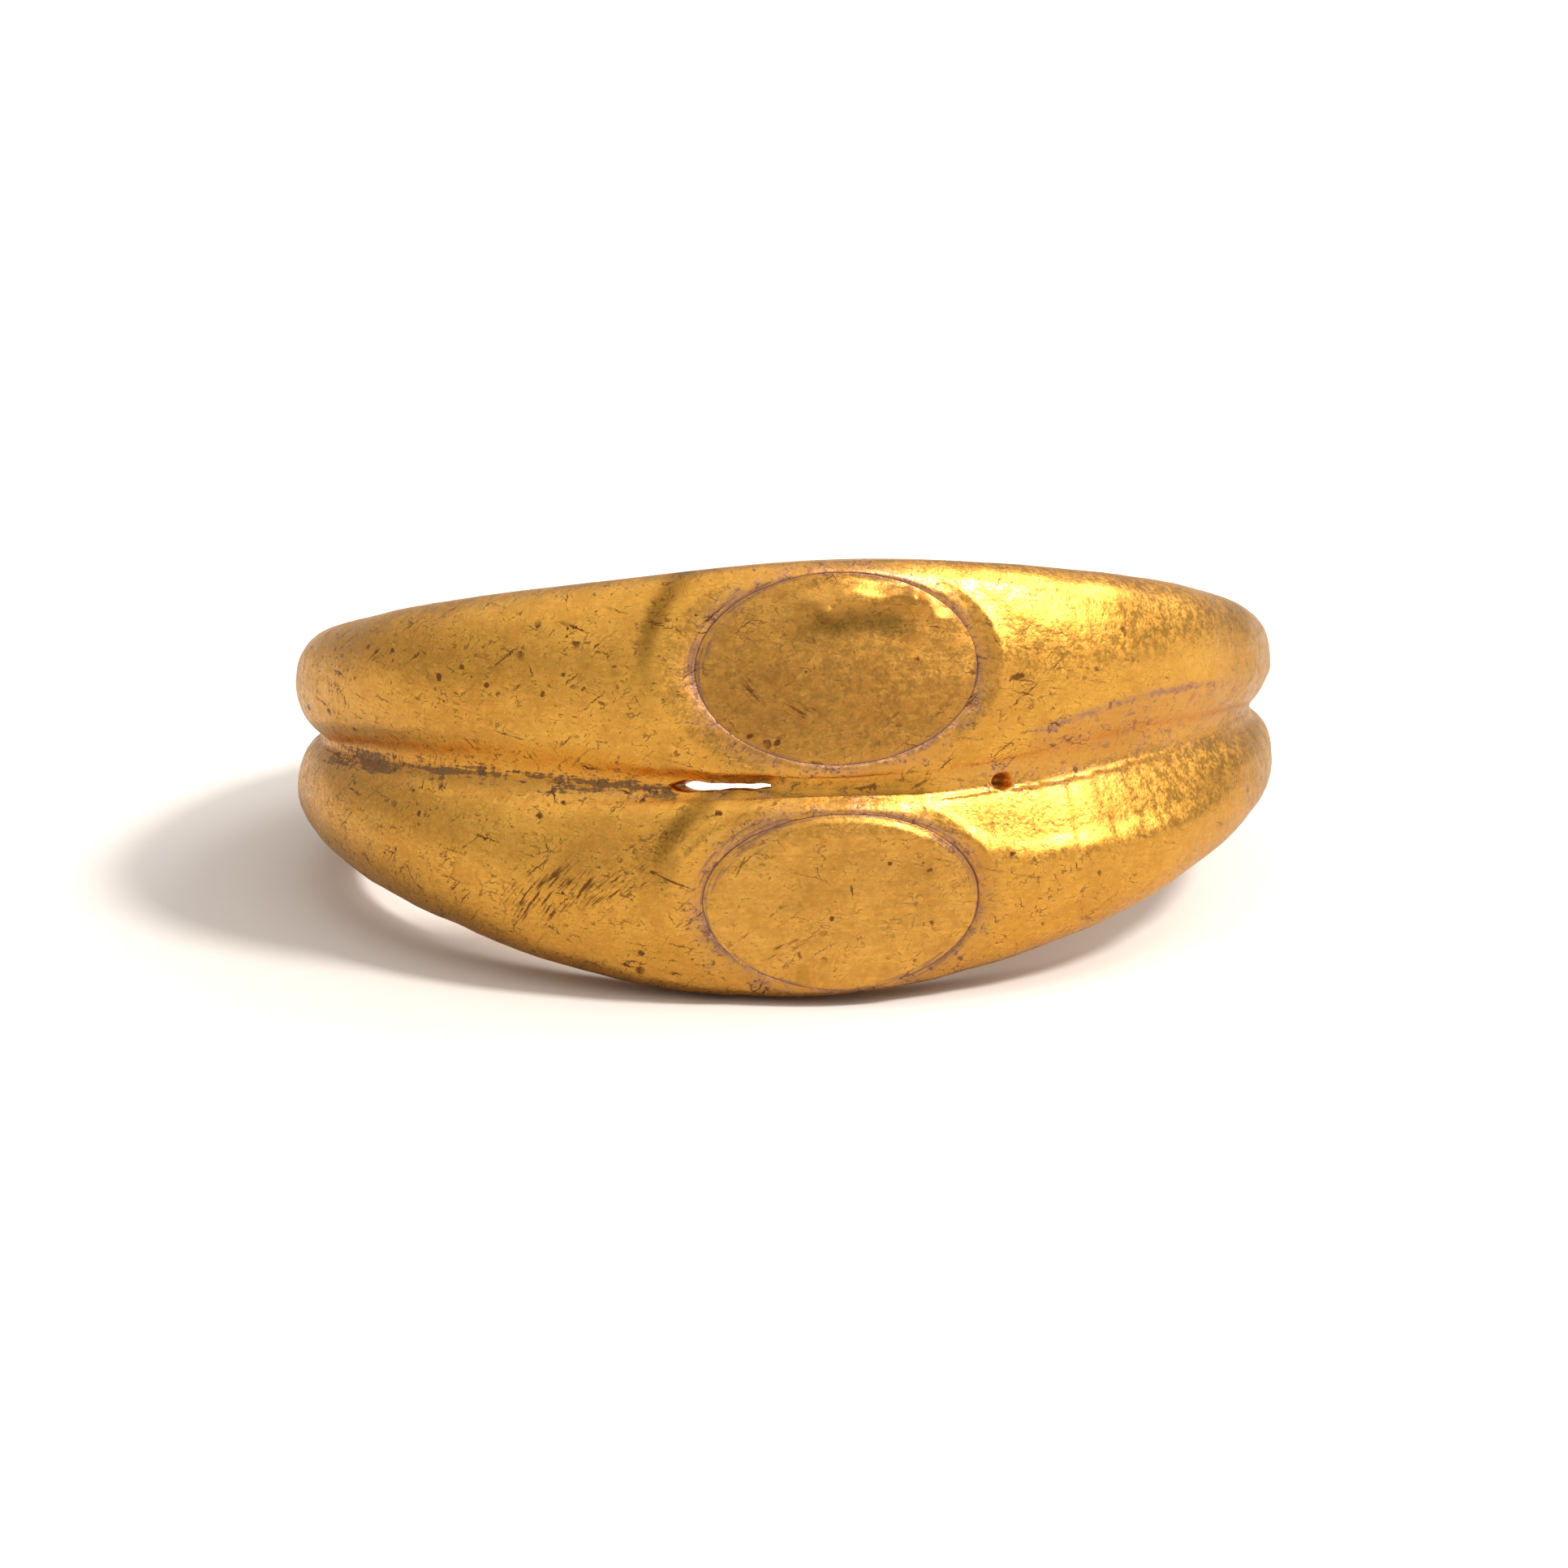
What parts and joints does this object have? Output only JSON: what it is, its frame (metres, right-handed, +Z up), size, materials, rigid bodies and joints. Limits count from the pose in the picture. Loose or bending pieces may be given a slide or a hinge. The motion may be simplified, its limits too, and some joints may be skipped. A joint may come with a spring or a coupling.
{
  "type": "finger ring",
  "caption": "Gold finger ring of twin hoops soldered side by side, swelling to a flat front where each hoop holds an oval plate.",
  "frame": {"origin": "on the floor under the middle of the ring's overall box, as it lies on the side of its lower hoop", "axes": "+X along the long way of the bezel plates, across the ring; -Y is the side that the bezels face; +Z up from the floor. The finger hole's axis leans back from +Z by the resting tilt"},
  "size_m": [0.022, 0.0214, 0.0095],
  "materials": {
    "hoop_gold": "worn satin gold",
    "upper_plate_gold": "worn satin gold",
    "lower_plate_gold": "worn satin gold"
  },
  "bodies": {
    "root": {"double_hoop": "hoop_gold", "upper_bezel_plate": "upper_plate_gold", "lower_bezel_plate": "lower_plate_gold"}
  },
  "joints": []
}
